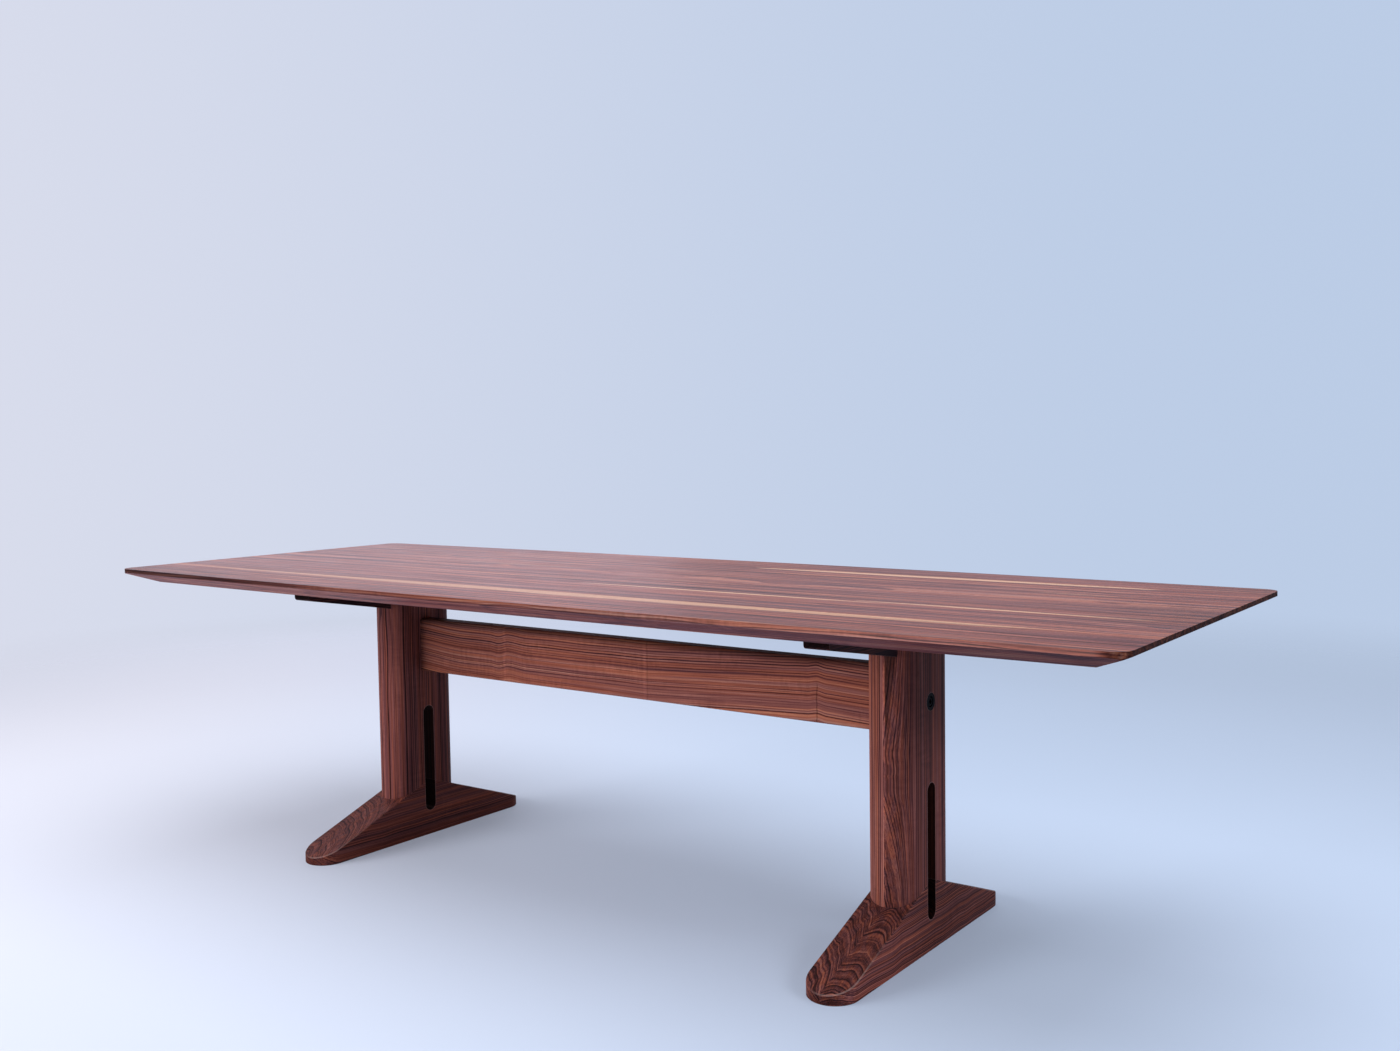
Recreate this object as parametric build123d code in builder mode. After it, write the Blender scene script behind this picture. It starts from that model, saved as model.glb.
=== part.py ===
from build123d import *
import math
import os

# Trestle dining table in walnut, in millimetres.
# Origin on the floor under the middle of the table, +X along its length, +Z up.

# Table
table_height = 750.0
leg_spacing = 1540.0

# Table top: boards glued edge to edge, long sides slightly bowed, wide bevel underneath
top_length = 2810.0
top_end_width = 965.0
side_bow = 18.0
top_thickness = 40.0
edge_height = 10.0
bevel_run = 75.0
corner_radius = 35.0
edge_softening = 1.5
board_seam_shares = (-0.5, -0.297, -0.182, -0.03, 0.121, 0.245, 0.375, 0.5)

# Posts: flat sides, half round ends, glued up from two layers
post_thickness = 110.0
post_width = 216.0

# Slot that runs down each post and into its foot
slot_width = 36.0
slot_bottom = 67.0
slot_top = 360.0

# Feet: flat sides, round toes, a straight slope on each side of the post
foot_length = 730.0
toe_height = 20.0
foot_peak = 154.0
foot_arris_chamfer = 2.0
floor_chamfer = 1.5

# Loose tenons between post and foot, one on each side of the slot
foot_tenon_width = 40.0
foot_tenon_thickness = 24.0
foot_tenon_length = 110.0

# Cleats: tapered bars under the top, housed in the posts
cleat_length = 728.0
cleat_thickness = 58.0
cleat_end_depth = 23.0
cleat_middle_depth = 91.0
cleat_end_radius = 9.0

# Stretcher between the posts, with a stub tenon at each end
stretcher_depth = 144.0
stretcher_thickness = 42.0
stretcher_middle_height = 531.5
stretcher_arris_radius = 6.0
stub_length = 35.0
stub_depth = 104.0
stub_thickness = 22.0

# Bolt, flush cup and square nut that pull each post onto the stretcher
bolt_diameter = 12.0
bolt_length = 180.0
bolt_head_diameter = 18.0
bolt_head_height = 12.0
bolt_socket_across_flats = 10.0
bolt_socket_depth = 6.0
cup_diameter = 38.0
cup_recess_diameter = 23.0
cup_recess_depth = 13.0
cup_floor = 4.0
cup_set_in = 0.5
nut_width = 19.0
nut_thickness = 10.0

# Flat headed screws that hold the top to the cleats, in slots so that the top can move across its grain
screw_end_distance = 89.0
screw_diameter = 8.0
screw_head_diameter = 20.0
screw_head_height = 4.0
screw_socket_across_flats = 5.0
screw_socket_depth = 2.5
screw_grip = 12.0
screw_engagement = 12.0
screw_slot_travel = 6.0
insert_diameter = 12.5
insert_length = 14.0

# Fits
end_gap = 1.0
bore_clearance = 0.5
cup_clearance = 0.1
thread_clearance = 0.05

# Sizes that follow from those above
underside = table_height - top_thickness
top_middle_width = top_end_width + 2 * side_bow
post_half_thickness = post_thickness / 2
post_flat_half = (post_width - post_thickness) / 2
foot_fall = (foot_peak - toe_height) / (foot_length / 2)
foot_seat_half = post_flat_half + math.sqrt(foot_arris_chamfer * (post_thickness - foot_arris_chamfer))
foot_tenon_offset = (slot_width + post_width) / 4
foot_tenon_middle = foot_peak - foot_fall * foot_tenon_offset
shoulder_half = leg_spacing / 2 - post_half_thickness
bolt_face = leg_spacing / 2 + post_half_thickness
bolt_seat = bolt_face - cup_set_in - cup_recess_depth
nut_outer_face = bolt_seat - bolt_length + nut_thickness
screw_seat = underside - screw_grip
screw_offset = cleat_length / 2 - screw_end_distance
screw_places = (-screw_offset, screw_offset)
slot_middle = (slot_top + slot_bottom) / 2
slot_height = slot_top - slot_bottom

os.makedirs("parts", exist_ok=True)


def finish(piece, name):
    """Label a finished piece and write it to its own file."""
    piece.label = name
    export_step(piece, f"parts/{name}.step")


# Whole table top before it is cut into its boards
with BuildPart() as top_blank:
    with BuildSketch(Plane.XY.offset(underside + top_thickness - edge_height)) as top_outline:
        with BuildLine():
            half_length = top_length / 2
            near_side = ThreePointArc(
                (-half_length, -top_end_width / 2),
                (0, -top_middle_width / 2),
                (half_length, -top_end_width / 2),
            )
            far_side = ThreePointArc(
                (half_length, top_end_width / 2),
                (0, top_middle_width / 2),
                (-half_length, top_end_width / 2),
            )
            Line(near_side @ 1, far_side @ 0)
            Line(far_side @ 1, near_side @ 0)
        make_face()
    extrude(amount=edge_height)
    # The bevel keeps its run along every side, so its planes meet in mitres
    with BuildSketch(Plane.XY.offset(underside)) as bevel_foot:
        add(top_outline.sketch_local)
        offset(amount=-bevel_run, kind=Kind.INTERSECTION, mode=Mode.REPLACE)
    loft([bevel_foot.sketch, top_outline.sketch], ruled=True)
    with BuildSketch(Plane.XY.offset(underside)) as rounded_outline:
        add(top_outline.sketch_local)
        fillet(rounded_outline.vertices(), radius=corner_radius)
    extrude(amount=top_thickness, mode=Mode.INTERSECT)
    chamfer(top_blank.faces().sort_by(Axis.Z)[-1].edges(), length=edge_softening)
    # Blind holes for the threaded inserts
    with BuildSketch(Plane.XY.offset(underside)):
        with Locations([(x, y) for x in (-leg_spacing / 2, leg_spacing / 2) for y in screw_places]):
            Circle(insert_diameter / 2)
    extrude(amount=insert_length + end_gap, mode=Mode.SUBTRACT)

# Boards of the top, from the near side to the far side
for number, (near_share, far_share) in enumerate(zip(board_seam_shares, board_seam_shares[1:]), start=1):
    board_width = (far_share - near_share) * top_middle_width
    board_middle = (far_share + near_share) / 2 * top_middle_width
    with BuildPart() as top_board:
        add(top_blank.part)
        with BuildSketch(Plane.XY.offset(underside)):
            with Locations((0, board_middle)):
                Rectangle(top_length, board_width)
        extrude(amount=top_thickness, mode=Mode.INTERSECT)
    finish(top_board.part, f"top_board_{number}")

# Stretcher
with BuildPart() as stretcher:
    stretcher_section = Plane(origin=(0, 0, stretcher_middle_height), x_dir=(0, 1, 0), z_dir=(1, 0, 0))
    with BuildSketch(stretcher_section):
        RectangleRounded(stretcher_thickness, stretcher_depth, stretcher_arris_radius)
    extrude(amount=shoulder_half, both=True)
    with BuildSketch(stretcher_section):
        Rectangle(stub_thickness, stub_depth)
    extrude(amount=shoulder_half + stub_length, both=True)
    # Bolt bores from the ends, and a mortise for each nut, cut from below
    for outward in (-1, 1):
        stub_end = outward * (shoulder_half + stub_length)
        with BuildSketch(Plane(origin=(stub_end, 0, stretcher_middle_height), z_dir=(-outward, 0, 0))):
            Circle(bolt_diameter / 2 + bore_clearance)
        extrude(amount=shoulder_half + stub_length - nut_outer_face, mode=Mode.SUBTRACT)
    nut_mortise_length = nut_thickness + end_gap
    nut_mortise_middle = nut_outer_face - nut_mortise_length / 2
    with BuildSketch(Plane.XY.offset(stretcher_middle_height - stretcher_depth / 2)):
        with Locations((-nut_mortise_middle, 0), (nut_mortise_middle, 0)):
            Rectangle(nut_mortise_length, nut_width + 2 * bore_clearance)
    extrude(amount=stretcher_depth / 2 + nut_width / 2 + end_gap, mode=Mode.SUBTRACT)
finish(stretcher.part, "stretcher")

for side, outward in (("left", -1), ("right", 1)):
    leg_place = outward * leg_spacing / 2
    # The glue line between the two layers of post and foot lies in this plane
    seam = Plane(origin=(leg_place, 0, 0), x_dir=(0, 1, 0), z_dir=(1, 0, 0))
    across = Plane(origin=(leg_place, 0, 0), x_dir=(1, 0, 0), z_dir=(0, -1, 0))
    layers = (("outer", Keep.TOP), ("inner", Keep.BOTTOM))
    if outward < 0:
        layers = (("outer", Keep.BOTTOM), ("inner", Keep.TOP))
    tenon_spots = [(leg_place, -foot_tenon_offset), (leg_place, foot_tenon_offset)]

    # Foot: one arm with its eased arris, mirrored, and a square seat for the post between them
    with BuildPart() as foot_blank:
        with BuildSketch():
            with Locations((leg_place, 0)):
                SlotOverall(foot_length, post_thickness, rotation=90)
            with Locations((leg_place, 0)):
                Rectangle(post_thickness, foot_length, align=(Align.CENTER, Align.MAX), mode=Mode.SUBTRACT)
        extrude(amount=foot_peak)
        with BuildSketch(seam):
            with BuildLine():
                Polyline(
                    (0, 0),
                    (foot_length / 2, 0),
                    (foot_length / 2, toe_height),
                    (0, foot_peak),
                    close=True,
                )
            make_face()
        extrude(amount=post_half_thickness, both=True, mode=Mode.INTERSECT)
        slope = foot_blank.faces().filter_by(lambda face: 0 < face.normal_at().Z and face.normal_at().Y > 0)
        chamfer(slope.edges().group_by(Axis.Y)[1:], length=foot_arris_chamfer)
        chamfer(foot_blank.faces().sort_by(Axis.Z)[0].edges().group_by(Axis.Y)[1:], length=floor_chamfer)
        mirror(about=across)
        with BuildSketch(seam):
            with BuildLine():
                seat_side = foot_peak - foot_fall * foot_seat_half
                Polyline(
                    (-foot_seat_half, floor_chamfer),
                    (foot_seat_half, floor_chamfer),
                    (foot_seat_half, seat_side),
                    (0, foot_peak),
                    (-foot_seat_half, seat_side),
                    close=True,
                )
            make_face()
        extrude(amount=post_half_thickness, both=True)
        with BuildSketch(seam):
            with Locations((0, slot_middle)):
                SlotOverall(slot_height, slot_width, rotation=90)
        extrude(amount=post_thickness, both=True, mode=Mode.SUBTRACT)
        with BuildSketch(Plane.XY.offset(foot_tenon_middle - foot_tenon_length / 2 - end_gap)):
            with Locations(tenon_spots):
                Rectangle(foot_tenon_thickness, foot_tenon_width)
        extrude(amount=foot_tenon_length, mode=Mode.SUBTRACT)
    for layer, keep in layers:
        with BuildPart() as foot_layer:
            add(foot_blank.part)
            split(bisect_by=seam, keep=keep)
        finish(foot_layer.part, f"foot_{side}_{layer}")

    # Cleat: deepest over the post, thin at both ends
    with BuildPart() as cleat:
        with BuildSketch(seam):
            with BuildLine():
                Polyline(
                    (-cleat_length / 2, underside),
                    (-cleat_length / 2, underside - cleat_end_depth),
                    (0, underside - cleat_middle_depth),
                    (cleat_length / 2, underside - cleat_end_depth),
                    (cleat_length / 2, underside),
                    close=True,
                )
            make_face()
        extrude(amount=cleat_thickness / 2, both=True)
        cleat_blank = cleat.part
        low_ends = cleat.edges().filter_by(Axis.X).group_by(Axis.Y)
        fillet([low_ends[0].sort_by(Axis.Z)[0], low_ends[-1].sort_by(Axis.Z)[0]], radius=cleat_end_radius)
        # Counterbores from below, then slotted holes for the screws
        with BuildSketch(Plane.XY.offset(screw_seat)):
            with Locations([(leg_place, y) for y in screw_places]):
                SlotCenterToCenter(screw_slot_travel, screw_head_diameter + 2 * bore_clearance, rotation=90)
        extrude(amount=-cleat_middle_depth, mode=Mode.SUBTRACT)
        with BuildSketch(Plane.XY.offset(screw_seat)):
            with Locations([(leg_place, y) for y in screw_places]):
                SlotCenterToCenter(screw_slot_travel, screw_diameter + 2 * bore_clearance, rotation=90)
        extrude(amount=screw_grip, mode=Mode.SUBTRACT)
    finish(cleat.part, f"cleat_{side}")

    # Post: coped over the foot below, open above for the cleat
    with BuildPart() as post_blank:
        post_lowest = foot_peak - foot_fall * post_width / 2
        with BuildSketch(Plane.XY.offset(post_lowest)):
            with Locations((leg_place, 0)):
                SlotOverall(post_width, post_thickness, rotation=90)
        extrude(amount=underside - post_lowest)
        with BuildSketch(seam):
            with BuildLine():
                Polyline(
                    (-post_width / 2, post_lowest),
                    (post_width / 2, post_lowest),
                    (0, foot_peak),
                    close=True,
                )
            make_face()
        extrude(amount=post_thickness, both=True, mode=Mode.SUBTRACT)
        add(cleat_blank, mode=Mode.SUBTRACT)
        with BuildSketch(seam):
            with Locations((0, slot_middle)):
                SlotOverall(slot_height, slot_width, rotation=90)
        extrude(amount=post_thickness, both=True, mode=Mode.SUBTRACT)
        with BuildSketch(Plane.XY.offset(foot_tenon_middle - foot_tenon_length / 2)):
            with Locations(tenon_spots):
                Rectangle(foot_tenon_thickness, foot_tenon_width)
        extrude(amount=foot_tenon_length + end_gap, mode=Mode.SUBTRACT)
        # Mortise for the stretcher's stub, in the inner face
        inner_face = Plane(
            origin=(outward * shoulder_half, 0, stretcher_middle_height),
            x_dir=(0, 1, 0),
            z_dir=(outward, 0, 0),
        )
        with BuildSketch(inner_face):
            Rectangle(stub_thickness, stub_depth)
        extrude(amount=stub_length + end_gap, mode=Mode.SUBTRACT)
        # Counterbored bolt hole, from the outer face
        outer_face = Plane(
            origin=(outward * bolt_face, 0, stretcher_middle_height),
            x_dir=(0, 1, 0),
            z_dir=(outward, 0, 0),
        )
        with Locations(outer_face):
            CounterBoreHole(
                radius=bolt_diameter / 2 + bore_clearance,
                counter_bore_radius=cup_diameter / 2 + cup_clearance,
                counter_bore_depth=cup_set_in + cup_recess_depth + cup_floor,
                depth=post_thickness - stub_length,
            )
    for layer, keep in layers:
        with BuildPart() as post_layer:
            add(post_blank.part)
            split(bisect_by=seam, keep=keep)
        finish(post_layer.part, f"post_{side}_{layer}")

    # Loose tenons that hold the post to its foot
    with BuildPart() as foot_tenons:
        with BuildSketch(Plane.XY.offset(foot_tenon_middle - foot_tenon_length / 2)):
            with Locations(tenon_spots):
                Rectangle(foot_tenon_thickness, foot_tenon_width)
        extrude(amount=foot_tenon_length)
    finish(foot_tenons.part, f"foot_tenons_{side}")

    # Flush cup with a deep recess for the bolt's head
    cup_back = Plane(
        origin=(outward * (bolt_seat - cup_floor), 0, stretcher_middle_height),
        x_dir=(0, 1, 0),
        z_dir=(outward, 0, 0),
    )
    with BuildPart() as bolt_cup:
        with BuildSketch(cup_back):
            Circle(cup_diameter / 2)
            Circle(bolt_diameter / 2 + bore_clearance, mode=Mode.SUBTRACT)
        extrude(amount=cup_floor + cup_recess_depth)
        with BuildSketch(cup_back.offset(cup_floor)):
            Circle(cup_recess_diameter / 2)
        extrude(amount=cup_recess_depth, mode=Mode.SUBTRACT)
    finish(bolt_cup.part, f"bolt_cup_{side}")

    # Socket head bolt
    bolt_seat_plane = cup_back.offset(cup_floor)
    with BuildPart() as stretcher_bolt:
        with BuildSketch(bolt_seat_plane):
            Circle(bolt_head_diameter / 2)
        extrude(amount=bolt_head_height)
        with BuildSketch(bolt_seat_plane):
            Circle(bolt_diameter / 2)
        extrude(amount=-bolt_length)
        with BuildSketch(bolt_seat_plane.offset(bolt_head_height)):
            RegularPolygon(bolt_socket_across_flats / 2, 6, major_radius=False)
        extrude(amount=-bolt_socket_depth, mode=Mode.SUBTRACT)
    finish(stretcher_bolt.part, f"stretcher_bolt_{side}")

    # Square nut that the bolt threads into
    nut_plane = Plane(
        origin=(outward * nut_outer_face, 0, stretcher_middle_height),
        x_dir=(0, 1, 0),
        z_dir=(outward, 0, 0),
    )
    with BuildPart() as stretcher_nut:
        with BuildSketch(nut_plane):
            Rectangle(nut_width, nut_width)
            Circle(bolt_diameter / 2 + thread_clearance, mode=Mode.SUBTRACT)
        extrude(amount=-nut_thickness)
    finish(stretcher_nut.part, f"stretcher_nut_{side}")

    # Screws and threaded inserts between this cleat and the top
    screw_spots = [(leg_place, y) for y in screw_places]
    with BuildPart() as top_screws:
        with BuildSketch(Plane.XY.offset(screw_seat - screw_head_height)):
            with Locations(screw_spots):
                Circle(screw_head_diameter / 2)
        extrude(amount=screw_head_height)
        with BuildSketch(Plane.XY.offset(screw_seat)):
            with Locations(screw_spots):
                Circle(screw_diameter / 2)
        extrude(amount=screw_grip + screw_engagement)
        with BuildSketch(Plane.XY.offset(screw_seat - screw_head_height)):
            with Locations(screw_spots):
                RegularPolygon(screw_socket_across_flats / 2, 6, major_radius=False)
        extrude(amount=screw_socket_depth, mode=Mode.SUBTRACT)
    finish(top_screws.part, f"top_screws_{side}")

    with BuildPart() as top_inserts:
        with BuildSketch(Plane.XY.offset(underside)):
            with Locations(screw_spots):
                Circle(insert_diameter / 2)
                Circle(screw_diameter / 2 + thread_clearance, mode=Mode.SUBTRACT)
        extrude(amount=insert_length)
    finish(top_inserts.part, f"top_inserts_{side}")
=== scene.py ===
"""A trestle dining table in oiled walnut: its woods, its metals, the light and the camera.

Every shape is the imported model's own. The woods are solid textures in millimetres, so the grain
runs on round each corner, and each glued piece of timber comes from its own place in a log.
"""

import math

import bpy
from mathutils import Matrix, Vector

MM = 1000.0

# The camera, as it was worked out from the photograph's corners.
CAMERA_PLACE = (2.10482, -2.52205, 1.09477)
CAMERA_YAW, CAMERA_PITCH, CAMERA_ROLL = 0.62275, 0.05931, -0.01382
IMAGE_WIDTH, IMAGE_HEIGHT = 1400, 1051
FOCAL_PIXELS = 1349.52
CENTRE_PIXEL = (722.13, 514.99)
SENSOR = 36.0

# The stage and the light, in metres but for the floor's turn and fade, which are in millimetres.
ACROSS_VIEW = (0.812, 0.583)
BACKGROUND_LEFT, BACKGROUND_RIGHT = (0.735, 0.745, 0.850), (0.500, 0.605, 0.790)
BACKGROUND_TURN = (-0.85, 0.45)
FLOOR_LEFT, FLOOR_RIGHT = (0.715, 0.735, 0.850), (0.520, 0.630, 0.830)
FLOOR_TURN = (-2600.0, 1200.0)
FLOOR_GLOW = 0.27
FLOOR_RADIUS = 14.0
FLOOR_FADE = (2600.0, 6000.0)
AMBIENT = (1.0, 0.985, 0.970)
AMBIENT_STRENGTH = 0.42
KEY_PLACE, KEY_TARGET, KEY_SIZE = (-3.5, -5.2, 2.0), (0.1, 0.0, 0.45), (4.2, 2.6)
KEY_COLOUR, KEY_WATTS = (1.0, 0.97, 0.94), 350.0
SKY_PLACE, SKY_TARGET, SKY_SIZE = (0.0, 0.0, 3.6), (0.0, 0.0, 0.0), (4.6, 3.6)
SKY_COLOUR, SKY_WATTS = (1.0, 1.0, 1.0), 118.0
FILL_PLACE, FILL_TARGET, FILL_SIZE = (4.0, -0.4, 2.2), (0.8, 0.0, 0.2), (2.2, 0.9)
FILL_COLOUR, FILL_WATTS = (1.0, 0.98, 0.97), 44.0
RIM_PLACE, RIM_TARGET, RIM_SIZE = (-4.2, 2.9, 1.35), (-0.6, 0.0, 0.75), (3.4, 1.6)
RIM_COLOUR, RIM_WATTS = (0.90, 0.82, 1.0), 21.0

# Walnut's colours in linear light, from a dark growth line to the palest heartwood.
WALNUT = (
    (0.00, (0.020, 0.008, 0.009)),
    (0.25, (0.072, 0.024, 0.023)),
    (0.50, (0.165, 0.051, 0.040)),
    (0.75, (0.275, 0.094, 0.064)),
    (1.00, (0.400, 0.175, 0.115)),
)

# Sapwood, the pale of a rubbed arris that also serves as painted sheen and highlight, a purple
# that is partly heartwood and partly painted floor reflection, and the two tints that the wood
# drifts between.
SAP = (0.56, 0.33, 0.215)
PALE_WEAR_AND_SHEEN = (0.50, 0.34, 0.32)
PURPLE = (0.165, 0.064, 0.090)
WARM_TINT, COOL_TINT = (1.08, 0.98, 0.90), (0.90, 0.98, 1.18)

# How much each layer of the grain lightens or darkens the wood, and where in a ring it is dark.
BAND_SHARE, PIGMENT_SHARE, THREAD_SHARE, RING_SHARE = 0.60, 0.80, 0.70, 0.20
FIBRE_SHARE, LATE_SHARE, VEIN_SHARE, PORE_SHARE = 0.34, 0.42, 0.15, 0.30
LATE_START, LATE_FULL, RING_END = 0.40, 0.92, 0.93
SEED_STEP = 7.31

# The oiled finish: its least gloss, and how much duller it is at the right end and underneath.
MATT = 0.03
RIGHT_END, RIGHT_DULL = (850.0, 1400.0), 0.35
UNDER_TURN, UNDER_DULL_LEFT, UNDER_DULL_RIGHT = (-900.0, 900.0), 0.42, 0.80
WOOD_IOR = 1.47
WOOD_BUMP_STRENGTH, WOOD_BUMP_METRES = 0.32, 0.00035
STEEL_BUMP_STRENGTH, STEEL_BUMP_METRES = 0.15, 0.0001


class Number:
    """A number in a shader graph. Adding it, multiplying it and so on puts the nodes in."""

    def __init__(self, graph, socket):
        self.graph, self.socket = graph, socket

    def _do(self, operation, *values):
        return self.graph.math(operation, *values)

    def __add__(self, other):
        return self._do("ADD", self, other)

    def __sub__(self, other):
        return self._do("SUBTRACT", self, other)

    def __rsub__(self, other):
        return self._do("SUBTRACT", other, self)

    def __mul__(self, other):
        return self._do("MULTIPLY", self, other)

    def __truediv__(self, other):
        return self._do("DIVIDE", self, other)

    def __neg__(self):
        return self._do("MULTIPLY", self, -1.0)

    def __abs__(self):
        return self._do("ABSOLUTE", self)

    __radd__, __rmul__ = __add__, __mul__

    def square(self):
        return self * self

    def root(self):
        return self._do("SQRT", self)

    def floor(self):
        return self._do("FLOOR", self)

    def fraction(self):
        return self._do("FRACT", self)

    def at_least(self, low):
        return self._do("MAXIMUM", self, low)

    def at_most(self, high):
        return self._do("MINIMUM", self, high)

    def step(self, low, high):
        """0 up to low, 1 from high on, and a smooth rise between them."""
        node = self.graph.node("ShaderNodeMapRange", interpolation_type="SMOOTHSTEP")
        for key, value in (("Value", self), ("From Min", low), ("From Max", high)):
            self.graph.put(node.inputs[key], value)
        return Number(self.graph, node.outputs["Result"])


class Graph:
    """A node tree, with short calls that add to it."""

    def __init__(self, tree):
        self.tree = tree
        tree.nodes.clear()

    def put(self, socket, value):
        if isinstance(value, Number):
            value = value.socket
        if isinstance(value, bpy.types.NodeSocket):
            self.tree.links.new(value, socket)
        else:
            socket.default_value = value

    def node(self, kind, inputs=(), **settings):
        made = self.tree.nodes.new(kind)
        for name, value in settings.items():
            setattr(made, name, value)
        for key, value in dict(inputs).items():
            self.put(made.inputs[key], value)
        return made

    def math(self, operation, *values):
        made = self.node("ShaderNodeMath", operation=operation)
        for socket, value in zip(made.inputs, values):
            self.put(socket, value)
        return Number(self, made.outputs[0])

    def place(self):
        """The surface point's x, y and z, in millimetres."""
        coordinates = self.node("ShaderNodeTexCoord").outputs["Object"]
        split = self.node("ShaderNodeSeparateXYZ", {0: coordinates})
        return [Number(self, socket) * MM for socket in split.outputs]

    def vector(self, x, y, z):
        return self.node("ShaderNodeCombineXYZ", {0: x, 1: y, 2: z}).outputs[0]

    def noise(self, x, y, z, detail=2.0):
        """Soft noise from 0 to 1, mostly near a half, with features about 1 across."""
        made = self.node(
            "ShaderNodeTexNoise",
            {"Vector": self.vector(x, y, z), "Scale": 1.0, "Detail": detail},
            noise_dimensions="3D",
        )
        return Number(self, made.outputs[0])

    def noise_on_line(self, w, detail=1.0):
        """The same along one line."""
        made = self.node(
            "ShaderNodeTexNoise", {"W": w, "Scale": 1.0, "Detail": detail},
            noise_dimensions="1D",
        )
        return Number(self, made.outputs[0])

    def random(self, w):
        """An even random number from 0 to 1 for each whole number."""
        made = self.node("ShaderNodeTexWhiteNoise", {"W": w}, noise_dimensions="1D")
        return Number(self, made.outputs["Value"])

    def mix(self, share, first, second, blend="MIX"):
        made = self.node("ShaderNodeMix", data_type="RGBA", blend_type=blend)
        for key, value in ((0, share), (6, first), (7, second)):
            if isinstance(value, tuple):
                value = (*value, 1.0)
            self.put(made.inputs[key], value)
        return made.outputs[2]

    def ramp(self, share, stops):
        """The colour at share, from stops of (share, colour)."""
        made = self.node("ShaderNodeValToRGB", {0: share})
        elements = made.color_ramp.elements
        while len(elements) < len(stops):
            elements.new(1.0)
        for element, (place, colour) in zip(elements, stops):
            element.position, element.color = place, (*colour, 1.0)
        return made.outputs[0]

    def scaled(self, colour, share):
        made = self.node("ShaderNodeVectorMath", {0: colour}, operation="SCALE")
        self.put(made.inputs["Scale"], share)
        return made.outputs[0]


def surface(name):
    """A new material, its graph and its output's surface socket."""
    material = bpy.data.materials.new(name)
    material.use_nodes = True
    graph = Graph(material.node_tree)
    output = graph.node("ShaderNodeOutputMaterial")
    return material, graph, output.inputs["Surface"]


def edge_wear_and_highlight(graph, width, seams=()):
    """0 on a flat face, rising to 1 at an outer arris, and the normal softened over it. The pale
    arris that this drives is partly rubbed wood and partly a painted highlight.

    seams are (axis, position) of glued joints, where two flush faces meet and no arris is paled.
    """
    soft = graph.node("ShaderNodeBevel", {"Radius": width / MM}, samples=4).outputs[0]
    true = graph.node("ShaderNodeNewGeometry").outputs["Normal"]
    open_arris = 1.0
    for axis, position in seams:
        away = abs(graph.place()[axis] - position)
        open_arris = away.step(width, 2.0 * width) * open_arris
    if seams:
        soft = graph.mix(open_arris, true, soft)
    dot = graph.node("ShaderNodeVectorMath", {0: soft, 1: true}, operation="DOT_PRODUCT")
    turned = Number(graph, dot.outputs["Value"])
    return 1.0 - turned.step(0.80, 0.995), soft


def streak(graph, along, across, centre, half, start, end):
    """A long thin streak's share at a point: it tapers to nothing at start and end."""
    place = (along - (start + end) / 2) / ((end - start) / 2)
    width = (1.0 - place.square()).at_least(0.0).root() * half
    middle = (graph.noise_on_line(along / 260.0 + centre) - 0.5) * 6.0 + centre
    fray = (graph.noise(along / 130.0, across / 5.0, centre) - 0.5) * 7.0
    return (width - abs(across - middle) + fray).step(0.0, 4.0)


class Wood:
    """One piece of timber, and where in its log it was cut.

    axis is the grain's direction. pith is where the log's middle crosses the other two axes, and
    lean is how that drifts for each millimetre along the grain. spacing is a growth ring's width,
    and warp is how far the rings wander. warmth is how light the wood is, from about 0 to 1.
    lines, curl, bands and pigment say how strong the growth lines, the ripple, the broad bands
    and the fine streaks are, and band_rings is how many rings go to a broad band.

    streaks are (centre, half width, start, end, share), pale above zero and dark below. overlays
    are (function, colour), and the function gives the colour's share at a point. bend gives how
    far the grain is shifted there, marks how light it is, with painted light and shade in places,
    and hollow the painted shade of a deep place.

    sheen is the extra gloss of a face that looks up. arris_wear_and_highlight is (width, share) of
    the pale arrises, partly rubbed wood and partly a painted highlight, seams are where the piece
    is glued to its neighbours, as (axis, position), and end_dark is how much darker its end grain
    is.
    """

    def __init__(self, axis, pith, seed, lean=(0.0, 0.0), spacing=6.0, warp=8.0, warmth=0.52,
                 lines=1.0, curl=0.3, bands=1.0, pigment=1.0, band_rings=5.0, streaks=(),
                 overlays=(), bend=None, marks=None, hollow=None, sheen=0.0, roughness=0.52,
                 arris_wear_and_highlight=(1.8, 0.14), seams=(), end_dark=0.80):
        self.axis, self.pith, self.seed, self.lean = axis, pith, seed, lean
        self.spacing, self.warp, self.warmth = spacing, warp, warmth
        self.lines, self.curl, self.bands, self.pigment = lines, curl, bands, pigment
        self.band_rings, self.streaks, self.overlays = band_rings, streaks, overlays
        self.bend, self.marks, self.hollow = bend, marks, hollow
        self.sheen, self.roughness, self.arris_wear_and_highlight = sheen, roughness, arris_wear_and_highlight
        self.seams, self.end_dark = seams, end_dark


def grain_axes(axis, x, y, z):
    """The coordinate along the grain and the two across it."""
    return {"X": (x, y, z), "Y": (y, x, z), "Z": (z, x, y)}[axis]


def growth(g, wood, along, a, b):
    """Where in its log a point lies across the grain, and how many growth rings from the pith."""
    seed = wood.seed * SEED_STEP
    if wood.bend:
        shift_a, shift_b = wood.bend(g, along, a, b)
        a, b = a - shift_a, b - shift_b
    swing_a = (g.noise_on_line(along / 420.0 + seed) - 0.5) * (wood.warp * 1.4)
    swing_b = (g.noise_on_line(along / 380.0 + seed + 50.0) - 0.5) * (wood.warp * 1.4)
    side = a - along * wood.lean[0] - wood.pith[0] - swing_a
    up = b - along * wood.lean[1] - wood.pith[1] - swing_b
    radius = (side.square() + up.square()).root()
    slow = g.noise(along / 330.0 + seed, a / 52.0, b / 52.0, detail=1.0) - 0.5
    quick = g.noise(along / 75.0, a / 17.0 + seed, b / 17.0, detail=1.0) - 0.5
    rings = (radius + slow * (wood.warp * 1.8) + quick * (wood.warp * 0.30)) / wood.spacing
    return a, b, rings + (g.noise_on_line(rings / 2.9 + seed) - 0.5) * 1.2


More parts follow.
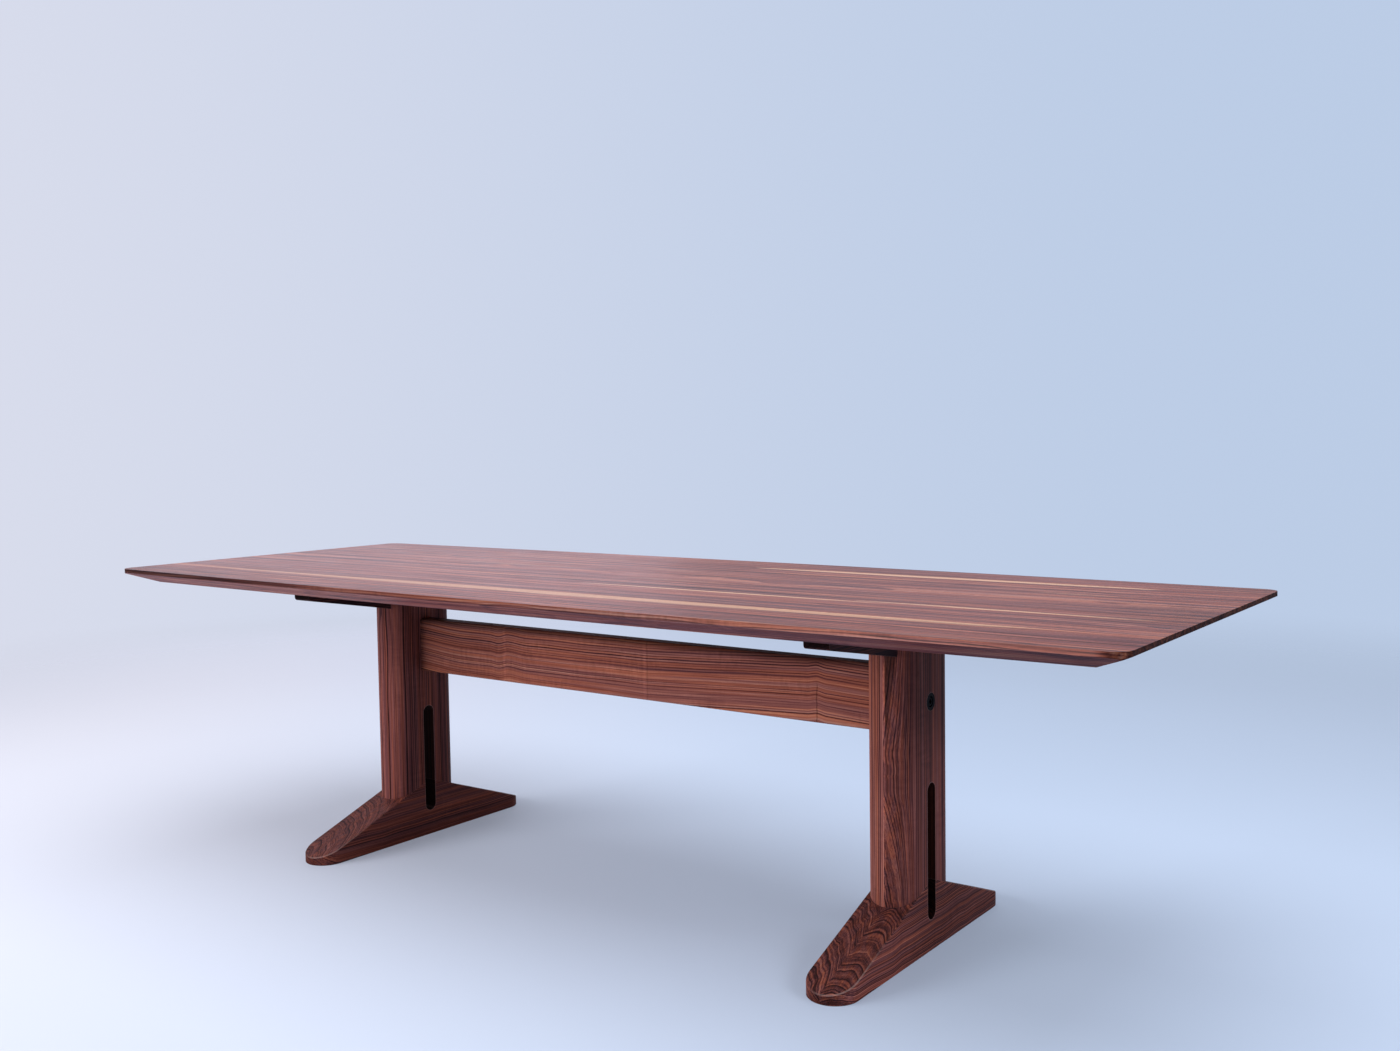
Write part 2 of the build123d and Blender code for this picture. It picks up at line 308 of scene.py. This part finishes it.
def lay_over(g, wood, colour, along, a, b, normal):
    """The colour, with the streaks and the other colours that the photograph shows laid on it."""
    for centre, half, start, end, share in wood.streaks:
        there = streak(g, along, a, centre, half, start, end) * abs(share)
        colour = g.mix(there, colour, SAP if share > 0 else WALNUT[0][1])
    # Some overlays are painted sheen, highlight and reflection.
    for part, part_colour in wood.overlays:
        colour = g.mix(part(g, along, a, b, normal), colour, part_colour)
    return colour


def oiled_gloss(g, wood, normal):
    """A face that looks up shines most. The right end is duller, and so is the underside."""
    x = g.place()[0]
    gloss = normal[2].step(0.5, 0.9) * wood.sheen + MATT
    gloss = gloss * (1.0 - x.step(*RIGHT_END) * RIGHT_DULL)
    dull = x.step(*UNDER_TURN) * (UNDER_DULL_RIGHT - UNDER_DULL_LEFT) + UNDER_DULL_LEFT
    return gloss * (1.0 - (-normal[2]).step(0.3, 0.8) * dull)


def walnut(name, wood):
    """The material of one piece of walnut."""
    material, g, output = surface(name)
    along, a, b = grain_axes(wood.axis, *g.place())
    seed = wood.seed * SEED_STEP
    geometry = g.node("ShaderNodeNewGeometry")
    normal = [Number(g, socket) for socket in
              g.node("ShaderNodeSeparateXYZ", {0: geometry.outputs["Normal"]}).outputs]

    # Each growth ring is dark toward its end, some more than others.
    log_a, log_b, rings = growth(g, wood, along, a, b)
    ring, inside = rings.floor(), rings.fraction()
    late = inside.step(LATE_START, LATE_FULL) * (1.0 - inside.step(RING_END, 1.0))
    late = late * (g.random(ring + seed).square() * 1.3 + 0.25)

    # Light and dark: bands of rings, long streaks of pigment, single rings and fibres.
    band = g.noise_on_line(rings / wood.band_rings + seed + 9.0) - 0.5
    pigment = g.noise(along / 800.0, log_a / 9.0 + seed, log_b / 9.0) - 0.5
    threads = g.noise(along / 260.0, log_a / 2.3 + seed, log_b / 2.3) - 0.5
    vein = g.noise(along / 190.0, log_a / 1.5, log_b / 1.5 + seed, detail=1.0).step(0.56, 0.70)
    fibre = g.noise(along / 70.0, a / 1.1, b / 1.1, detail=3.0) - 0.5
    fine = g.noise(along / 22.0, a / 0.45, b / 0.45) - 0.5
    tone = band * (BAND_SHARE * wood.bands) + pigment * (PIGMENT_SHARE * wood.pigment)
    tone = tone + threads * THREAD_SHARE + (g.random(ring + seed + 30.0) - 0.5) * RING_SHARE
    tone = tone + fibre * FIBRE_SHARE + wood.warmth
    tone = tone - late * (LATE_SHARE * wood.lines) - vein * VEIN_SHARE
    colour = g.ramp(tone, WALNUT)
    hue = g.noise(along / 700.0 + seed, log_a / 8.0, log_b / 8.0, detail=1.0).step(0.35, 0.65)
    colour = g.mix(1.0, colour, g.mix(hue, WARM_TINT, COOL_TINT), blend="MULTIPLY")
    colour = lay_over(g, wood, colour, along, a, b, normal)

    # Pores, the ripple of curly grain, and marks of this piece's own, some of them painted light
    # and shade.
    pore = g.noise(along / 8.0, a / 0.50 + 40.0, b / 0.50, detail=1.0).step(0.60, 0.70)
    pore = pore * (1.0 - inside * 0.6)
    ripple = g.noise(along / 10.0, a / 34.0 + seed, b / 34.0, detail=1.0) - 0.5
    patch = g.noise(along / 170.0 + seed, a / 60.0, b / 60.0).step(0.42, 0.66)
    shade = fine * 0.25 + ripple * patch * (1.5 * wood.curl) + 1.0
    shade = shade * (1.0 - pore * PORE_SHARE)
    if wood.marks:
        shade = shade * wood.marks(g, along, a, b, normal)
    # hollow paints shade into deep places, such as the slot.
    if wood.hollow:
        shade = shade * (1.0 - wood.hollow(*g.place()))

    # End grain drinks more oil and is darker. An arris is lighter and smoother, partly rubbed and
    # partly a painted highlight.
    end_grain = abs(normal["XYZ".index(wood.axis)]).step(0.72, 0.94)
    wear_and_highlight, soft_normal = edge_wear_and_highlight(g, wood.arris_wear_and_highlight[0], wood.seams)
    shade = shade * (1.0 - end_grain * wood.end_dark)
    colour = g.mix(wear_and_highlight * wood.arris_wear_and_highlight[1], g.scaled(colour, shade), PALE_WEAR_AND_SHEEN)

    rough = (g.noise(along / 120.0, a / 30.0, b / 30.0 + seed) - 0.5) * 0.10 + wood.roughness
    rough = rough + pore * 0.12 - late * 0.03 + end_grain * 0.15 - wear_and_highlight * 0.06
    height = fibre * 0.35 + fine * 0.20 - pore * 0.55 - late * 0.25
    bump = g.node(
        "ShaderNodeBump",
        {"Strength": WOOD_BUMP_STRENGTH, "Distance": WOOD_BUMP_METRES, "Height": height,
         "Normal": soft_normal},
    )
    shader = g.node(
        "ShaderNodeBsdfPrincipled",
        {"Base Color": colour, "Roughness": rough, "Normal": bump.outputs[0],
         "IOR": WOOD_IOR, "Specular IOR Level": oiled_gloss(g, wood, normal)},
    )
    g.put(output, shader.outputs[0])
    return material


def steel(name, colour, roughness, metallic, specular, blotch):
    """Plated or blackened steel, with faint blotches, fine turning marks and bright arrises."""
    material, g, output = surface(name)
    x, y, z = g.place()
    cloud = g.noise(x / 6.0, y / 6.0, z / 6.0, detail=4.0) - 0.5
    marks = g.noise(x / 0.9, y / 0.25, z / 0.25, detail=2.0) - 0.5
    wear_and_highlight, soft_normal = edge_wear_and_highlight(g, 0.5)
    shade = cloud * blotch + marks * 0.14 + wear_and_highlight * 0.6 + 1.0
    tint = g.ramp(shade * 0.5, ((0.0, (0.0, 0.0, 0.0)), (1.0, tuple(2 * part for part in colour))))
    shader = g.node(
        "ShaderNodeBsdfPrincipled",
        {"Base Color": tint, "Roughness": cloud * 0.2 + marks * 0.08 + roughness,
         "Metallic": metallic, "Specular IOR Level": specular},
    )
    bump = g.node(
        "ShaderNodeBump",
        {"Strength": STEEL_BUMP_STRENGTH, "Distance": STEEL_BUMP_METRES, "Height": marks,
         "Normal": soft_normal},
    )
    g.put(shader.inputs["Normal"], bump.outputs[0])
    g.put(output, shader.outputs[0])
    return material


# The stretcher's grain: it climbs to the right of the middle kink, and dips at each kink.
KINKS = (-395.0, 78.0, 558.0)

# The legs: their middle, half their thickness and width, the slot and the bolt's cup above it.
LEG_CENTRE = 770.0
LEG_HALF_THICKNESS, POST_HALF_WIDTH = 55.0, 108.0
SLOT_HALF_WIDTH = 18.0
SLOT_HEIGHTS = (67.0, 360.0)
CUP_HEIGHT, CUP_RADIUS = 531.5, 19.0


def stretcher_bend(g, along, across, height):
    """How far the stretcher's grain is shifted: it climbs, dips at the kinks and falls away."""
    left, middle, right = KINKS
    climb = (along - middle).at_least(0.0).at_most(right - middle) * 0.05
    fall = (along - right).at_least(0.0) * -0.04
    drop = (1.0 - along.step(-760.0, -540.0)) * 13.0
    dip = (1.0 - abs(along - (left - 20.0)).step(0.0, 34.0)) * -5.0
    rise = (1.0 - abs(along - (left + 12.0)).step(0.0, 70.0)) * 5.0
    peak = (1.0 - abs(along - right).step(0.0, 26.0)) * 3.0
    return 0.0, climb + fall + drop + dip + rise + peak


def stretcher_marks_and_painted_shade(g, along, across, height, normal):
    """The shade of the three kinks: a pale rib with a dark line, and a short check.

    The left end is darker with painted shade by the post, and the top rim with a painted shadow of
    the top.
    """
    left, middle, right = KINKS
    waver = (g.noise_on_line(height / 24.0) - 0.5) * 9.0
    pale_left = 1.0 - abs(along + waver - left).step(0.0, 7.0)
    pale = 1.0 - abs(along + waver * 0.5 - (middle - 5.0)).step(0.0, 9.0)
    dark = 1.0 - abs(along + waver * 0.5 - middle - 3.0).step(0.5, 3.5)
    check = (1.0 - abs(along + waver * 0.7 - right).step(0.4, 2.4)) * (
        1.0 - height.step(536.0, 556.0))
    # Painted shade at the left end, and a painted shadow of the top along the rim.
    painted_shade_left_end = 1.0 - along.step(-740.0, -150.0)
    rim = height.step(582.0, 600.0)
    shade = (pale_left * 0.18 + pale * 0.15 + 1.0) * (1.0 - dark * 0.20) * (1.0 - check * 0.45)
    return shade * (1.0 - painted_shade_left_end * 0.42) * (1.0 - rim * 0.64)


def front_sapwood(g, along, across, height, normal):
    """The pale sapwood near the front board's back edge, ragged in front and crisp behind.

    It is widest just left of the table's middle, and palest to the right of it.
    """
    place = (along + 50.0) / 1500.0
    width = (1.0 - place.square()).at_least(0.0) * 36.0 + 12.0
    width = width * (1.0 - along.step(1050.0, 1320.0))
    wander = (g.noise_on_line(along / 300.0) - 0.5) * 12.0
    fray = (g.noise(along / 190.0, across / 4.0, 3.0) - 0.5) * 16.0
    inside = (across + 298.0 + width + wander + fray).step(-10.0, 12.0)
    back = along.step(-700.0, -100.0) * 8.0 - 314.0
    inside = inside * (1.0 - (across - back).step(0.0, 6.0))
    strength = along.step(-1300.0, 300.0) * 0.23 + 0.22
    return inside * (g.noise(along / 400.0, across / 3.0, 9.0) * 0.4 + strength)


def right_end_marks(g, along, across, height, normal):
    """Some boards behind the front one are darker toward the right end."""
    return 1.0 - along.step(1050.0, 1400.0) * 0.24


def front_edge_painted_sheen(g, along, across, height, normal):
    """Painted sheen that turns the front edge pinker toward the right, up to the corner."""
    pink = along.step(-100.0, 1100.0) * (1.0 - along.step(1348.0, 1374.0)) * 0.09
    return (-normal[1]).step(0.30, 0.80) * pink


def front_purple(g, along, across, height, normal):
    """The front bevel is evened to purple, partly heartwood and partly a painted reflection of the
    bluish floor.
    """
    return (-normal[1]).step(0.15, 0.30) * (-normal[2]).step(0.5, 0.9) * 0.32


def front_edge_tone_and_painted_light(g, along, across, height, normal):
    """The front edge runs from dark heartwood on the left to lighter, redder wood.

    The bevel under it is painted lighter on the left, as a reflection of the bright floor, and
    darker on the right, as shade, and the face above it is darker at its front.
    """
    facing = (-normal[1]).step(0.30, 0.80)
    light = along.step(-1300.0, 100.0) * 0.50 + 0.22 + along.step(300.0, 1200.0) * 0.58
    light = light * (1.0 - along.step(1352.0, 1378.0) * 0.68)
    below = (-normal[2]).step(0.5, 0.9)
    # Painted reflection lightens the bevel at the left end, painted shade darkens it at the right.
    under = 0.20 - along.step(-500.0, 100.0) * 0.10 - along.step(500.0, 1250.0) * 0.48
    left = (1.0 - along.step(-1150.0, -500.0)) * (1.0 - across.step(-430.0, -340.0))
    right = along.step(200.0, 700.0) * (1.0 - across.step(-474.0, -456.0))
    above = 1.0 - (left + right) * normal[2].step(0.5, 0.9) * 0.30
    return ((light - 1.0) * facing + 1.0) * (under * below + 1.0) * above


def round_front(across, depth):
    """How far round the right post's rounded front a point is, from 0 at the joint."""
    return (across - LEG_CENTRE) * 0.81 + (depth + POST_HALF_WIDTH) * 0.58


def right_post_bend(g, along, across, depth):
    """The round front's grain leans left down to mid height, then right, in ripples."""
    place = round_front(across, depth)
    lean = (along - 390.0).at_least(0.0) * 0.19 + (390.0 - along).at_least(0.0) * 0.36
    swirl = (1.0 - abs(along - 395.0).step(0.0, 50.0)) * 12.0
    ripple = (g.noise_on_line(along / 24.0, detail=0.0) - 0.5) * 6.0
    ripple = ripple * (1.0 - along.step(200.0, 330.0))
    return 0.0, (lean + ripple + swirl) * (1.0 - place.step(22.0, 72.0))


def right_post_marks_and_painted_light(g, along, across, depth, normal):
    """Dark heartwood leans across the top of the round front, with warmer wood beside it. A
    painted shadow of the top darkens the flat side high up, and painted light brightens the side
    low down near the front.
    """
    place = round_front(across, depth)
    edge = place - (along - 710.0) * 0.11
    high = along.step(400.0, 520.0)
    front = 1.0 - depth.step(-72.0, -50.0)
    strip = 1.0 - across.step(773.5, 775.5)
    dark = (1.0 - edge.step(24.0, 38.0)) * high * front * (1.0 - strip)
    warm = edge.step(30.0, 44.0) * high * front
    line = (1.0 - abs(place - (along - 700.0) * 0.04 - 50.0).step(0.5, 3.0)) * high * front
    shade = (1.0 - dark * 0.70) * (warm * 0.15 + 1.0) * (1.0 - line * 0.30)
    # Painted shadow of the top on the upper flat side, and painted light low on the side near the
    # front.
    side = place.step(36.0, 50.0)
    top, foot = along.step(360.0, 560.0), 1.0 - along.step(260.0, 420.0)
    shade = shade * (1.0 - side * top * 0.27) * (side * front * foot * 0.25 + 1.0)
    return shade * (strip * front * (1.0 - foot * 0.5) * 0.60 + 1.0)


def right_post_strip(g, along, across, depth, normal):
    """A paler strip along the joint, with a dark line beside it."""
    strip = across.step(764.0, 768.0)
    line = 1.0 - abs(across - 762.0).step(0.3, 2.0)
    foot = 1.0 - along.step(200.0, 500.0)
    return (strip * 0.22 + 1.0) * (1.0 - line * 0.35) * (foot * 0.13 + 1.0)


def left_post_marks(g, along, across, depth, normal):
    """The left post's rounded front is lighter wood toward the foot."""
    front = 1.0 - depth.step(-88.0, -66.0)
    return front * (1.0 - along.step(250.0, 600.0)) * 0.30 + 1.0


def right_foot_painted_light(g, along, across, height, normal):
    """Painted light on the foot's right side, lighter toward the toe than its slope, which is
    painted a little darker.
    """
    side = normal[0].step(0.6, 0.9) * (1.0 - along.step(-250.0, 50.0))
    return side * 0.66 + 0.91


def rim_share(y, z, normal):
    """The thin pale rims of the slot and of the bolt's cup, on the leg's flat sides."""
    beyond = (z - (SLOT_HEIGHTS[1] - SLOT_HALF_WIDTH)).at_least(0.0)
    below = (SLOT_HEIGHTS[0] + SLOT_HALF_WIDTH - z).at_least(0.0)
    slot = (y.square() + (beyond + below).square()).root() - SLOT_HALF_WIDTH
    cup = (y.square() + (z - CUP_HEIGHT).square()).root() - CUP_RADIUS
    gap = slot.at_most(abs(cup + 0.2))
    flat = abs(normal[0]).step(0.90, 0.98)
    return (1.0 - gap.step(0.6, 1.8)) * flat * 0.22


def post_rims(g, along, across, depth, normal):
    return rim_share(depth, along, normal)


def foot_rims_and_highlight(g, along, across, height, normal):
    """A painted highlight runs along the eased arris round the toe and up the foot's right side
    too.
    """
    # Painted highlight along the eased arris.
    eased = normal[2].step(0.50, 0.58) * (1.0 - normal[2].step(0.76, 0.84))
    eased = eased * normal[0].step(-0.45, 0.3) * abs(along).step(160.0, 330.0) * 0.32
    return rim_share(along, height, normal) + eased


def arched(apex, lean, rise, wave):
    """Grain that drops across the foot by lean, and arches at x = apex more near the post.

    rise is the arch's (strength at the toe, strength by the post), and wave is how far small
    waves shift it.
    """
    def bend(g, along, across, height):
        away = across - apex
        by_post = along.step(-330.0, -150.0) * (rise[1] - rise[0]) + rise[0]
        waves = (g.noise(along / 60.0, across / 19.0, apex, detail=0.0) - 0.5) * wave
        return 0.0, waves - away * lean - away.square() * by_post
    return bend


def slot_shade(x, y, z):
    """Painted shade in the deep slot's inside, which makes it nearly black."""
    inside = 1.0 - abs(y).step(SLOT_HALF_WIDTH, SLOT_HALF_WIDTH + 1.0)
    inside = inside * z.step(SLOT_HEIGHTS[0] - 2.0, SLOT_HEIGHTS[0])
    inside = inside * (1.0 - z.step(SLOT_HEIGHTS[1], SLOT_HEIGHTS[1] + 2.0))
    depth = abs(abs(x) - LEG_CENTRE).step(LEG_HALF_THICKNESS - 1.5, LEG_HALF_THICKNESS)
    return inside * (1.0 - depth) * 0.85


BOARD_SEAMS = tuple((1, place) for place in (-297.3, -182.2, -30.0, 121.1, 245.2, 375.4))
LEG_SEAMS = ((0, LEG_CENTRE), (0, -LEG_CENTRE))
BOARD = {
    "sheen": 0.125, "roughness": 0.43, "curl": 0.5, "pigment": 2.1, "arris_wear_and_highlight": (0.8, 0.05),
    "seams": BOARD_SEAMS,
}
FRONT_BOARD = {**BOARD, "sheen": 0.075}
POST = {
    "pigment": 0.5, "hollow": slot_shade, "seams": LEG_SEAMS,
    "overlays": ((post_rims, PALE_WEAR_AND_SHEEN),),
}
FOOT = {
    "warp": 3.0, "lines": 1.2, "curl": 0.3, "pigment": 0.5, "band_rings": 1.0, "sheen": 0.06,
    "hollow": slot_shade, "seams": LEG_SEAMS, "end_dark": 0.40,
    "overlays": ((foot_rims_and_highlight, PALE_WEAR_AND_SHEEN),),
}
LEFT_FOOT = {**FOOT, "lines": 0.8}

WOODS = {
    "top_board_1": Wood("X", (-560.0, 470.0), 1, lean=(0.004, 0.005), warp=9.0, warmth=0.64,
                        bands=0.6, marks=front_edge_tone_and_painted_light,
                        overlays=((front_sapwood, SAP), (front_edge_painted_sheen, PALE_WEAR_AND_SHEEN),
                                  (front_purple, PURPLE)),
                        **FRONT_BOARD),
    "top_board_2": Wood("X", (-150.0, 560.0), 2, lean=(-0.005, 0.003), warp=8.0, warmth=0.63,
                        bands=0.5, **BOARD),
    "top_board_3": Wood("X", (-260.0, 640.0), 3, lean=(0.003, -0.004), warp=8.0, warmth=0.59,
                        bands=0.5, marks=right_end_marks,
                        streaks=((-130.0, 8.5, -60.0, 800.0, 0.85),
                                 (-112.0, 9.0, 700.0, 1340.0, 0.80),
                                 (-75.0, 22.0, -300.0, 900.0, -0.20)), **BOARD),
    "top_board_4": Wood("X", (120.0, 560.0), 4, lean=(-0.004, -0.004), warp=9.0, warmth=0.64,
                        bands=0.5, marks=right_end_marks,
                        streaks=((15.0, 4.0, -60.0, 350.0, 0.5),
                                 (60.0, 9.0, 700.0, 1500.0, -0.30)), **BOARD),
    "top_board_5": Wood("X", (260.0, 640.0), 5, lean=(0.004, 0.004), warp=8.0, warmth=0.64,
                        bands=0.5,
                        streaks=((140.0, 5.0, -800.0, -200.0, 0.40),
                                 (200.0, 5.0, -150.0, 100.0, 0.50),
                                 (200.0, 5.0, 950.0, 1150.0, 0.50)), **BOARD),
    "top_board_6": Wood("X", (200.0, 520.0), 6, lean=(-0.004, 0.005), warp=9.0, warmth=0.63,
                        bands=0.5,
                        streaks=((358.0, 17.0, 140.0, 1200.0, 0.9),
                                 (350.0, 6.0, -850.0, -200.0, 0.40)), **BOARD),
    "top_board_7": Wood("X", (560.0, 600.0), 7, lean=(0.003, 0.004), warp=8.0, warmth=0.63,
                        bands=0.5, marks=right_end_marks, **BOARD),
    "stretcher": Wood("X", (-60.0, 60.0), 8, spacing=6.0, warp=4.0, warmth=0.73, curl=0.4,
                      lines=1.2, bands=0.5, pigment=0.5, bend=stretcher_bend,
                      marks=stretcher_marks_and_painted_shade),
    "post_right_inner": Wood("Z", (480.0, 40.0), 9, spacing=5.0, warp=3.0, warmth=0.75,
                             lines=1.6, bands=0.5, marks=right_post_strip, **POST),
    "post_right_outer": Wood("Z", (490.0, -390.0), 10, spacing=6.0, warp=3.0, warmth=0.48,
                             lines=1.0, curl=0.4, bands=0.6, band_rings=2.0,
                             bend=right_post_bend, marks=right_post_marks_and_painted_light, **POST),
    "post_left_outer": Wood("Z", (-781.0, 20.0), 11, lean=(0.0, -0.005), spacing=5.2, warp=5.0,
                            warmth=0.53, lines=1.4, bands=0.8, marks=left_post_marks, **POST),
    "post_left_inner": Wood("Z", (-600.0, -260.0), 12, spacing=5.0, warp=4.0, warmth=0.46,
                            lines=1.4, bands=0.8, marks=left_post_marks, **POST),
    "foot_right_inner": Wood("Y", (712.0, -55.0), 13, spacing=4.0, warmth=0.41, bands=1.6,
                             bend=arched(715.0, 0.24, (0.001, 0.001), 9.0), **FOOT),
    "foot_right_outer": Wood("Y", (800.0, -40.0), 14, spacing=3.8, warmth=0.42, bands=1.5,
                             bend=arched(797.0, 0.08, (0.001, 0.008), 6.0),
                             marks=right_foot_painted_light, **FOOT),
    "foot_left_outer": Wood("Y", (-800.0, -30.0), 15, spacing=3.2, warmth=0.42, bands=0.7,
                            bend=arched(-825.0, 0.10, (0.001, 0.001), 3.0), **LEFT_FOOT),
    "foot_left_inner": Wood("Y", (-790.0, -60.0), 16, spacing=3.2, warmth=0.43, bands=0.7,
                            bend=arched(-770.0, 0.04, (0.001, 0.003), 3.0), **LEFT_FOOT),
    # The cleats' wood is made nearly black, as painted shade for their place under the top.
    "cleat_left": Wood("Y", (-700.0, 560.0), 17, warmth=0.10, bands=0.4, pigment=0.4),
    "cleat_right": Wood("Y", (840.0, 580.0), 18, warmth=0.10, bands=0.4, pigment=0.4),
}


def paint(frame):
    """Every CAD node's material."""
    nodes = frame["nodes"]
    black = steel("blackened_steel", (0.004, 0.004, 0.005), 0.50, 0.0, 0.02, 0.5)
    zinc = steel("zinc_plate", (0.45, 0.46, 0.47), 0.34, 1.0, 0.5, 0.35)
    tenon = walnut("beech_tenon", Wood("Z", (700.0, 200.0), 19, warmth=1.3, lines=0.3))
    for name, wood in WOODS.items():
        nodes[name].data.materials[0] = walnut("walnut_" + name, wood)
    for side in ("left", "right"):
        nodes["foot_tenons_" + side].data.materials[0] = tenon
        for name in ("bolt_cup_", "stretcher_bolt_"):
            nodes[name + side].data.materials[0] = black
        for name in ("stretcher_nut_", "top_screws_", "top_inserts_"):
            nodes[name + side].data.materials[0] = zinc


def pale_blend(g, x, y, turn, left, right):
    """A colour that turns from left to right across the photograph's view."""
    across = x * ACROSS_VIEW[0] + y * ACROSS_VIEW[1]
    return g.mix(across.step(*turn), left, right)


def seen_share(g):
    """1 for what the camera, a reflection or glass sees, and 0 for light that falls on things."""
    path = g.node("ShaderNodeLightPath")
    seen = Number(g, path.outputs["Is Camera Ray"])
    for ray in ("Is Glossy Ray", "Is Transmission Ray"):
        seen = g.math("MAXIMUM", seen, Number(g, path.outputs[ray]))
    return seen


def make_floor():
    """A plain pale floor that fades out far from the table and is clear from underneath."""
    bpy.ops.mesh.primitive_circle_add(vertices=96, radius=FLOOR_RADIUS, fill_type="NGON")
    floor = bpy.context.object
    floor.name = "studio_floor"
    material, g, output = surface("studio_floor")
    x, y, _ = g.place()
    fade = (x.square() + y.square()).root().step(*FLOOR_FADE)
    from_below = Number(g, g.node("ShaderNodeNewGeometry").outputs["Backfacing"])
    colour = pale_blend(g, x, y, FLOOR_TURN, FLOOR_LEFT, FLOOR_RIGHT)
    shader = g.node("ShaderNodeBsdfPrincipled",
                    {"Base Color": colour, "Roughness": 0.85, "IOR": 1.3})
    glow = g.node("ShaderNodeEmission", {"Color": colour, "Strength": 1.0})
    lit = g.node("ShaderNodeMixShader",
                 {0: seen_share(g) * FLOOR_GLOW, 1: shader.outputs[0], 2: glow.outputs[0]})
    clear = g.node("ShaderNodeBsdfTransparent")
    blend = g.node("ShaderNodeMixShader", {0: g.math("MAXIMUM", fade, from_below),
                                           1: lit.outputs[0], 2: clear.outputs[0]})
    g.put(output, blend.outputs[0])
    floor.data.materials.append(material)


def make_world():
    """What the camera and reflections see behind the table, and the soft light all round it."""
    world = bpy.data.worlds.new("studio")
    world.use_nodes = True
    bpy.context.scene.world = world
    g = Graph(world.node_tree)
    output = g.node("ShaderNodeOutputWorld")
    direction = g.node("ShaderNodeTexCoord").outputs["Generated"]
    x, y, _ = (Number(g, socket)
               for socket in g.node("ShaderNodeSeparateXYZ", {0: direction}).outputs)
    colour = pale_blend(g, x, y, BACKGROUND_TURN, BACKGROUND_LEFT, BACKGROUND_RIGHT)
    light = g.node("ShaderNodeBackground",
                   {"Color": (*AMBIENT, 1.0), "Strength": AMBIENT_STRENGTH})
    shown = g.node("ShaderNodeBackground", {"Color": colour, "Strength": 1.0})
    blend = g.node("ShaderNodeMixShader",
                   {0: seen_share(g), 1: light.outputs[0], 2: shown.outputs[0]})
    g.put(output.inputs["Surface"], blend.outputs[0])


def make_lamp(name, place, target, size, colour, watts):
    lamp = bpy.data.lights.new(name, "AREA")
    lamp.shape, lamp.size, lamp.size_y = "RECTANGLE", size[0], size[1]
    lamp.color, lamp.energy = colour, watts
    holder = bpy.data.objects.new(name, lamp)
    bpy.context.scene.collection.objects.link(holder)
    holder.location = place
    aim = Vector(target) - Vector(place)
    holder.rotation_euler = aim.to_track_quat("-Z", "Y").to_euler()
    holder.visible_camera = False
    return holder


def make_lamps():
    """A broad key that the oiled wood doesn't mirror, a soft sky, a fill and a rim."""
    key = make_lamp("key", KEY_PLACE, KEY_TARGET, KEY_SIZE, KEY_COLOUR, KEY_WATTS)
    key.visible_glossy = False
    make_lamp("sky", SKY_PLACE, SKY_TARGET, SKY_SIZE, SKY_COLOUR, SKY_WATTS)
    make_lamp("fill", FILL_PLACE, FILL_TARGET, FILL_SIZE, FILL_COLOUR, FILL_WATTS)
    make_lamp("rim", RIM_PLACE, RIM_TARGET, RIM_SIZE, RIM_COLOUR, RIM_WATTS)


def make_camera():
    """The photograph's camera, from its place, its three turns and its focal length."""
    yaw, pitch, roll = CAMERA_YAW, CAMERA_PITCH, CAMERA_ROLL
    forward = Vector((-math.sin(yaw) * math.cos(pitch), math.cos(yaw) * math.cos(pitch),
                      -math.sin(pitch)))
    level = Vector((math.cos(yaw), math.sin(yaw), 0.0))
    above = level.cross(forward)
    right = level * math.cos(roll) + above * math.sin(roll)
    up = above * math.cos(roll) - level * math.sin(roll)
    lens_data = bpy.data.cameras.new("camera")
    lens_data.sensor_width = SENSOR
    lens_data.lens = FOCAL_PIXELS / IMAGE_WIDTH * SENSOR
    lens_data.shift_x = (IMAGE_WIDTH / 2 - CENTRE_PIXEL[0]) / IMAGE_WIDTH
    lens_data.shift_y = (CENTRE_PIXEL[1] - IMAGE_HEIGHT / 2) / IMAGE_WIDTH
    holder = bpy.data.objects.new("camera", lens_data)
    bpy.context.scene.collection.objects.link(holder)
    turn = Matrix((right, up, -forward)).transposed().to_4x4()
    holder.matrix_world = Matrix.Translation(CAMERA_PLACE) @ turn
    bpy.context.scene.camera = holder


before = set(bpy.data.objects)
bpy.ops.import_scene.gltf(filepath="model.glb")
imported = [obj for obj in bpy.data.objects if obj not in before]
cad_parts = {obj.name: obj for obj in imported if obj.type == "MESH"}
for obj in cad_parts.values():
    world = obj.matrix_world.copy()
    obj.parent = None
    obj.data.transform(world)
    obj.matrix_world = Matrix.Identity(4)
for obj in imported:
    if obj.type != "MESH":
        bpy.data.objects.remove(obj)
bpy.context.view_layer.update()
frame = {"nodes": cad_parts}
bpy.context.scene.view_settings.view_transform = "Standard"
make_camera()
make_world()
make_lamps()
make_floor()
paint(frame)
